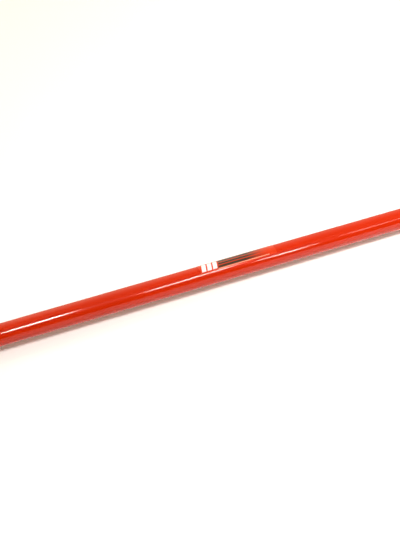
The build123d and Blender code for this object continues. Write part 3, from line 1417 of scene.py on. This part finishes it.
@dataclass
class PivotHardware:
    """The bolt that joins a link to its arm, with nut, locking ring, washers and sleeve."""

    side: Side
    zinc: bpy.types.Material
    steel: bpy.types.Material
    nylon: bpy.types.Material
    bolt_diameter: float = 12 * MM
    across_flats: float = 18 * MM
    thread_pitch: float = 1.75 * MM
    thread_length: float = 27 * MM
    collar_height: float = 2.6 * MM
    collar_diameter: float = 15.6 * MM
    thread_clearance: float = 0.05 * MM
    head_height: float = 7.5 * MM
    head_crown: float = 1.1 * MM
    point_ease: float = 1.2 * MM
    washer_face_radius: float = 8.4 * MM
    washer_face_height: float = 0.4 * MM
    dish_depth: float = 0.5 * MM
    dish_radius: float = 5.2 * MM
    dish_rim: float = 5.8 * MM
    nut_crown: float = 0.9 * MM
    ring_depth: float = 1.8 * MM
    washer_clearance: float = 0.5 * MM
    washer_edge: float = 0.35 * MM

    def __post_init__(self) -> None:
        """Finds the pivot's axis."""
        pivot = hinge(f"link_{self.side.label}_swing")
        self.axis = Vector((0, pivot.y, pivot.z))
        self.bore = self.bolt_diameter / 2 + self.thread_clearance

    def build(self) -> None:
        """Makes the six pieces."""
        makers: dict[str, tuple[Callable[[float, float, float], Shape], bpy.types.Material, str]]
        makers = {
            "pivot_bolt": (self._bolt, self.zinc, "zinc_hardware"),
            "pivot_nut": (self._nut, self.zinc, "zinc_hardware"),
            "lock_ring": (self._ring, self.nylon, "nylon"),
            "pivot_washer_outer": (self._washer, self.zinc, "zinc_hardware"),
            "pivot_washer_inner": (self._washer, self.zinc, "zinc_hardware"),
            "pivot_sleeve": (sleeve_shape, self.steel, "sleeve_steel"),
        }
        for name, (maker, material, slot) in makers.items():
            node = f"{name}_{self.side.label}"
            near, far, radius = across(node, self.side)
            shape = maker(near, far, radius).flip_to(self.side).move(self.axis)
            Piece(f"{node}_piece", shape, material, "bar", slot, (node,)).fit()

    def _bolt(self, tip: float, top: float, _: float) -> Shape:
        """The bolt.

        Args:
            tip: The shank's end, as a distance out from the bar's middle.
            top: The head's outer face.

        Returns:
            The shape, made for the right side.
        """
        under = top - self.head_height
        radius = self.bolt_diameter / 2
        ease = self.point_ease
        seat = under + self.washer_face_height
        thread_end = tip + self.thread_length
        profile = [(tip, 0.0), (tip, radius - ease), (tip + ease, radius)]
        profile += thread(tip + ease, thread_end, radius, self.thread_pitch)
        profile += [(thread_end + MM, radius), (under, radius)]
        profile += [(under, self.washer_face_radius), (seat, self.washer_face_radius)]
        profile += turned_back(self.across_flats, seat, top, self.head_crown)
        dish = top - self.dish_depth
        profile += [(top, self.dish_rim), (dish, self.dish_radius), (dish, 0.0)]
        return six_flats(self.across_flats, profile)

    def _nut(self, end: float, seat: float, _: float) -> Shape:
        """The locking nut.

        Args:
            end: The crown's free end, as a distance out from the bar's middle.
            seat: The face that sits on the washer.

        Returns:
            The shape, made for the right side.
        """
        collar = self.collar_diameter / 2
        shoulder = end + self.collar_height
        recess = across(f"lock_ring_{self.side.label}", self.side)[2]
        ring_seat = end + self.ring_depth
        outline = [(end, recess), (end, collar - 0.8 * MM), (end + 0.25 * MM, collar - 0.3 * MM)]
        outline += [(end + 0.8 * MM, collar), (shoulder, collar)]
        outline += turned_back(self.across_flats, shoulder, seat, self.nut_crown)
        outline += [(seat, self.bore + MM), (seat - MM, self.bore)]
        outline += [(ring_seat, self.bore), (ring_seat, recess)]
        return six_flats(self.across_flats, outline)

    def _ring(self, near: float, far: float, radius: float) -> Shape:
        """The nylon locking ring."""
        return Shape.tube(near, far, self.bore, radius).rounded(0.2 * MM, 2)

    def _washer(self, near: float, far: float, radius: float) -> Shape:
        """A flat washer."""
        bore = self.bolt_diameter / 2 + self.washer_clearance
        return Shape.tube(near, far, bore, radius).rounded(self.washer_edge, 3)


def across(node: str, side: Side) -> tuple[float, float, float]:
    """A turned CAD piece's ends and radius.

    Args:
        node: The piece's node.
        side: The side that it is on.

    Returns:
        Its nearer and farther distance from the bar's middle, and half its height.
    """
    low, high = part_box(node)
    ends = sorted((low.x * side.value, high.x * side.value))
    return ends[0], ends[1], (high.z - low.z) / 2


def sleeve_shape(near: float, far: float, radius: float) -> Shape:
    """A parted-off steel sleeve with chamfered ends."""
    bore = mounts_named("link_eye")[0]["dims"]["r_mm"] * MM
    return Shape.tube(near, far, bore, radius).rounded(0.5 * MM, 2)


@dataclass
class EndLink:
    """A rod welded between two eyes, with flanged bushings and a loose sleeve."""

    side: Side
    coat: bpy.types.Material
    rubber: bpy.types.Material
    steel: bpy.types.Material
    eye_wall: float = 4 * MM
    eye_round: float = 0.8 * MM
    facets: int = 128
    flange_thickness: float = 5 * MM
    flange_round: float = 1.5 * MM
    bead_radius: float = 2.3 * MM
    bead_ripples: int = 22
    bead_facets: int = 176
    bead_swell: float = 0.16
    bead_flatness: float = 0.8

    def __post_init__(self) -> None:
        """Finds the link's two eye centres."""
        tag = self.side.label
        self.body = f"link_{tag}"
        self.centres = {
            "pivot": hinge(f"link_{tag}_swing"), "free": hinge(f"eye_sleeve_{tag}_turn")
        }

    def build(self) -> None:
        """Makes the link's eyes, rod, welds, bushings and free sleeve."""
        tag = self.side.label
        for eye, centre in self.centres.items():
            node = f"{eye}_eye_{tag}"
            near, far, radius = across(node, self.side)
            bore = radius - self.eye_wall
            ring = Shape.tube(near, far, bore, radius, self.facets)
            ring.rounded(self.eye_round, 3).flip_to(self.side).move((0, centre.y, centre.z))
            Piece(f"{node}_piece", ring, self.coat, self.body, "link_coat", (node,)).fit()
            for place in ("inner", "outer"):
                self._bushing(eye, place, bore)
            bead = self._bead(eye, radius)
            Piece(f"{eye}_weld_{tag}", bead, self.coat, self.body, "link_coat", (), 60.0).fit()
        self._rod()
        node = f"free_sleeve_{tag}"
        shape = sleeve_shape(*across(node, self.side)).flip_to(self.side)
        shape.move((0, self.centres["free"].y, self.centres["free"].z))
        body = f"eye_sleeve_{tag}"
        Piece(f"{node}_piece", shape, self.steel, body, "sleeve_steel", (node,)).fit()

    def _bushing(self, eye: str, place: str, bore: float) -> None:
        """Makes one flanged half.

        Args:
            eye: Which eye it is in.
            place: Which end of the eye it goes in from.
            bore: The eye's inner radius.
        """
        node = f"{eye}_eye_bushing_{place}_{self.side.label}"
        near, far, radius = across(node, self.side)
        hole = across(f"free_sleeve_{self.side.label}", self.side)[2] + 0.05 * MM
        if place == "outer":
            flange, face, inside = far - self.flange_thickness, far, near
        else:
            flange, face, inside = near + self.flange_thickness, near, far
        out = math.copysign(1.0, face - inside)
        lip = self.flange_round
        rim = [(face - out * lip * s, radius - lip * c) for c, s in ROUNDING]
        profile = [
            (inside, hole),
            (inside, bore - 0.6 * MM),
            (inside + out * 0.6 * MM, bore),
            (flange, bore),
            (flange, radius - 0.3 * MM),
            (flange + out * 0.3 * MM, radius),
            *rim,
            (face, hole + 1.6 * MM),
            (face - out * 0.9 * MM, hole + 0.4 * MM),
            (face - out * 1.6 * MM, hole),
        ]
        shape = Shape.turned(profile, self.facets).flip_to(self.side)
        centre = self.centres[eye]
        shape.move((0, centre.y, centre.z))
        Piece(f"{node}_piece", shape, self.rubber, self.body, "black_polyurethane", (node,)).fit()

    def _rod(self) -> None:
        """Makes the rod, with its ends hollowed to sit against the eyes."""
        node = f"link_rod_{self.side.label}"
        low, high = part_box(node)
        radius = (high.x - low.x) / 2
        middle = (low + high) / 2
        rod = Shape.turned(
            [(low.y - MM, 0.0), (low.y - MM, radius), (high.y + MM, radius), (high.y + MM, 0.0)], 64
        )
        rod.turn(QUARTER, Z_AXIS).move((middle.x, 0, middle.z))
        tools = Shape()
        for eye, centre in self.centres.items():
            near, far, eye_radius = across(f"{eye}_eye_{self.side.label}", self.side)
            ends = sorted((near * self.side.value, far * self.side.value))
            cylinder = Shape.prism(self.facets, eye_radius, ends[0], ends[1])
            tools.add(cylinder.move((0, centre.y, centre.z)))
        rod.combine(tools.tidied(), Combine.CUT)
        Piece(f"{node}_piece", rod, self.coat, self.body, "link_coat", (node,)).fit()

    def _bead(self, eye: str, eye_radius: float) -> Shape:
        """The weld that runs round the rod where it meets an eye.

        Args:
            eye: Which eye.
            eye_radius: The eye's outer radius.

        Returns:
            The shape.
        """
        low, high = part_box(f"link_rod_{self.side.label}")
        rod_radius = (high.x - low.x) / 2
        centre = self.centres[eye]
        facing = -1.0 if eye == "pivot" else 1.0
        shape = Shape()
        bm = shape.bm
        ring = bmesh.ops.create_circle(bm, segments=16, radius=self.bead_radius)["verts"]
        bmesh.ops.translate(bm, vec=(rod_radius, 0, 0), verts=ring)
        bmesh.ops.spin(
            bm,
            geom=list(bm.verts) + list(bm.edges),
            cent=(0, 0, 0),
            axis=Y_AXIS,
            angle=FULL_TURN,
            steps=self.bead_facets,
            use_merge=True,
        )
        shape.tidied()
        for vert in bm.verts:
            angle = math.atan2(vert.co.z, vert.co.x)
            spine = Vector((math.cos(angle), 0, math.sin(angle))) * rod_radius
            wave = (angle * self.bead_ripples / math.pi) % 2 - 1
            swell = 1 - self.bead_swell * wave * wave
            vert.co = spine + (vert.co - spine) * swell
            seat = math.sqrt(eye_radius**2 - min(abs(vert.co.z), rod_radius) ** 2)
            vert.co.y = vert.co.y * self.bead_flatness + seat * facing
        return shape.tidied().move(centre)


# --------------------------------------------------------------------------------------------
# Studio
# --------------------------------------------------------------------------------------------


@dataclass(frozen=True)
class Lamp:
    """A soft box that the camera doesn't see, and that gloss or matt faces may not see either."""

    name: str
    place: tuple[float, float, float]
    size: tuple[float, float]
    watts: float
    tint: tuple[float, float, float] = (1.0, 1.0, 1.0)
    tip: float = 0.0
    slant: float = 0.0
    in_gloss: bool = True
    lights: bool = True

    def build(self) -> bpy.types.Object:
        """Adds the lamp.

        Returns:
            The lamp's object.
        """
        data = bpy.data.lights.new(self.name, "AREA")
        data.shape = "RECTANGLE"
        data.size, data.size_y = self.size
        data.energy = self.watts
        data.color = self.tint
        made = bpy.data.objects.new(self.name, data)
        made.location = self.place
        made.rotation_euler = (math.radians(self.tip), 0, math.radians(self.slant))
        made.visible_camera = False
        made.visible_glossy = self.in_gloss
        made.visible_diffuse = self.lights
        bpy.context.scene.collection.objects.link(made)
        return made


@dataclass
class Studio:
    """White table, the pale wall behind it, soft lamps and the camera."""

    floor: bpy.types.Material
    wall: bpy.types.Material
    floor_size: float = 16.0
    floor_gap: float = 0.0001
    wall_height: float = 8.0
    wall_sink: float = 0.05
    camera_place: tuple[float, float, float] = (-0.5, -1.01, 0.9573)
    heading: float = 24.16
    pitch: float = 39.81
    lens: float = 84.83
    sensor_width: float = 36.0
    clip: Point = (0.05, 60.0)
    bright_side: tuple[float, float, float] = (0.0, 0.866, 0.5)
    room: tuple[Point, ...] = (
        (0.15, 0.0), (0.35, 0.10), (0.67, 0.28), (0.80, 0.38), (0.92, 0.68), (1.00, 1.30)
    )
    warm: tuple[float, float, float] = (1.0, 0.8, 0.75)
    room_tint: tuple[float, float, float] = (1.0, 0.94, 0.68)

    def build(self) -> None:
        """Makes everything round the object."""
        self._table()
        self._backdrop()
        self._world()
        for lamp in self._lamps():
            lamp.build()
        self._camera()

    def _table(self) -> None:
        """Makes the table top just under the lowest point of the object."""
        shape = Shape()
        bmesh.ops.create_circle(shape.bm, cap_ends=True, segments=64, radius=self.floor_size / 2)
        made = shape.move((0, 0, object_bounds()[0].z - self.floor_gap)).as_object("table_top")
        made.data.materials.append(self.floor)
        made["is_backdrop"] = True

    def _backdrop(self) -> None:
        """Makes the pale wall that the camera sees past the table and nothing is lit by."""
        shape = Shape()
        bmesh.ops.create_cone(
            shape.bm,
            segments=64,
            radius1=self.floor_size / 2,
            radius2=self.floor_size / 2,
            depth=self.wall_height,
        )
        made = shape.move((0, 0, self.wall_height / 2 - self.wall_sink)).as_object("backdrop")
        made.data.materials.append(self.wall)
        made.visible_diffuse = False
        made.visible_glossy = False
        made.visible_shadow = False
        made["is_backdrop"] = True

    def _world(self) -> None:
        """Surrounds the table with a dim room that brightens over the top towards the back."""
        world = bpy.data.worlds.new("studio")
        bpy.context.scene.world = world
        world.use_nodes = True
        tree = world.node_tree
        coordinates = tree.nodes.new("ShaderNodeTexCoord")
        towards_back = tree.nodes.new("ShaderNodeVectorMath")
        towards_back.operation = "DOT_PRODUCT"
        towards_back.inputs[1].default_value = self.bright_side
        spread = tree.nodes.new("ShaderNodeMapRange")
        spread.inputs["From Min"].default_value = -1.0
        ramp = tree.nodes.new("ShaderNodeValToRGB")
        tint = Vector(self.room_tint)
        tinted = [(at, (*(tint * level), 1.0)) for at, level in self.room]
        Graph.set_stops(ramp.color_ramp.elements, tinted)
        tree.links.new(coordinates.outputs["Generated"], towards_back.inputs[0])
        tree.links.new(towards_back.outputs["Value"], spread.inputs["Value"])
        tree.links.new(spread.outputs["Result"], ramp.inputs["Fac"])
        tree.links.new(ramp.outputs["Color"], tree.nodes["Background"].inputs["Color"])

    def _lamps(self) -> list[Lamp]:
        """The lamps.

        Returns:
            Four soft boxes that gloss shows as streaks, two strips that it shows from other
            sides, and four panels that only light.
        """
        return [
            Lamp("box_left", (0.10, -1.02, 1.6), (0.27, 0.10), 11.5, slant=56.0, lights=False),
            Lamp("box_middle", (0.57, -1.19, 1.6), (0.38, 0.11), 9.5, slant=58.0, lights=False),
            Lamp("box_right", (1.16, -2.17, 1.6), (0.42, 0.12), 12.0, slant=-52.0, lights=False),
            Lamp("box_far_right", (1.23, -1.44, 1.6), (0.22, 0.13), 2.2, self.warm, lights=False),
            Lamp("sheen_front", (-1.9, -1.0, 1.4), (2.4, 0.10), 10.0, lights=False),
            Lamp("sheen_back", (-1.9, 1.0, 1.4), (2.4, 0.10), 10.0, lights=False),
            Lamp("front_panel", (1.3, -0.85, 2.0), (1.4, 0.5), 78.0, in_gloss=False),
            Lamp("near_panel", (0.75, -0.70, 0.9), (0.5, 0.5), 8.0, tip=35.0, in_gloss=False),
            Lamp("back_fill", (0.5, 1.2, 1.9), (2.0, 0.8), 5.0, tip=-32.0, in_gloss=False),
            Lamp("ceiling", (0.0, 0.0, 5.0), (14.0, 14.0), 150.0, in_gloss=False),
        ]

    def _camera(self) -> None:
        """Makes the camera, level from side to side."""
        data = bpy.data.cameras.new("camera")
        data.lens = self.lens
        data.sensor_width = self.sensor_width
        data.clip_start, data.clip_end = self.clip
        made = bpy.data.objects.new("camera", data)
        made.location = self.camera_place
        made.rotation_euler = (math.radians(90 - self.pitch), 0, math.radians(-self.heading))
        bpy.context.scene.collection.objects.link(made)
        bpy.context.scene.camera = made


def main() -> None:
    """Builds the whole scene."""
    logging.basicConfig(level=logging.INFO, format="%(message)s")
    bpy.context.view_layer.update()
    view = bpy.context.scene.view_settings
    view.view_transform = "Standard"
    red_coat = PowderCoat("red_powder_coat", ORANGE, DEEP_ORANGE).build()
    black_coat = PowderCoat(
        "black_powder_coat",
        SOFT_BLACK,
        WORN_BLACK,
        roughness=0.4,
        gloss=0.25,
        gloss_roughness=0.25,
        ripple=0.9 * MM,
        ripple_depth=0.03 * MM,
    ).build()
    film = DecalFilm(ORANGE).build()
    rubber = Polyurethane().build()
    plate = ZincPlate("zinc_plate", mottle=12 * MM).build()
    zinc = ZincPlate("zinc_hardware", roughness=0.24, mottle=4 * MM).build()
    steel = TurnedSteel().build()
    nylon = Nylon().build()
    Studio(StudioFloor().build(), StudioWall().build()).build()
    SwayBar(red_coat, film).build()
    for side in Side:
        FrameMount(side, rubber, plate, zinc).build()
        PivotHardware(side, zinc, steel, nylon).build()
        EndLink(side, black_coat, rubber, steel).build()


if __name__ == "__main__":
    main()
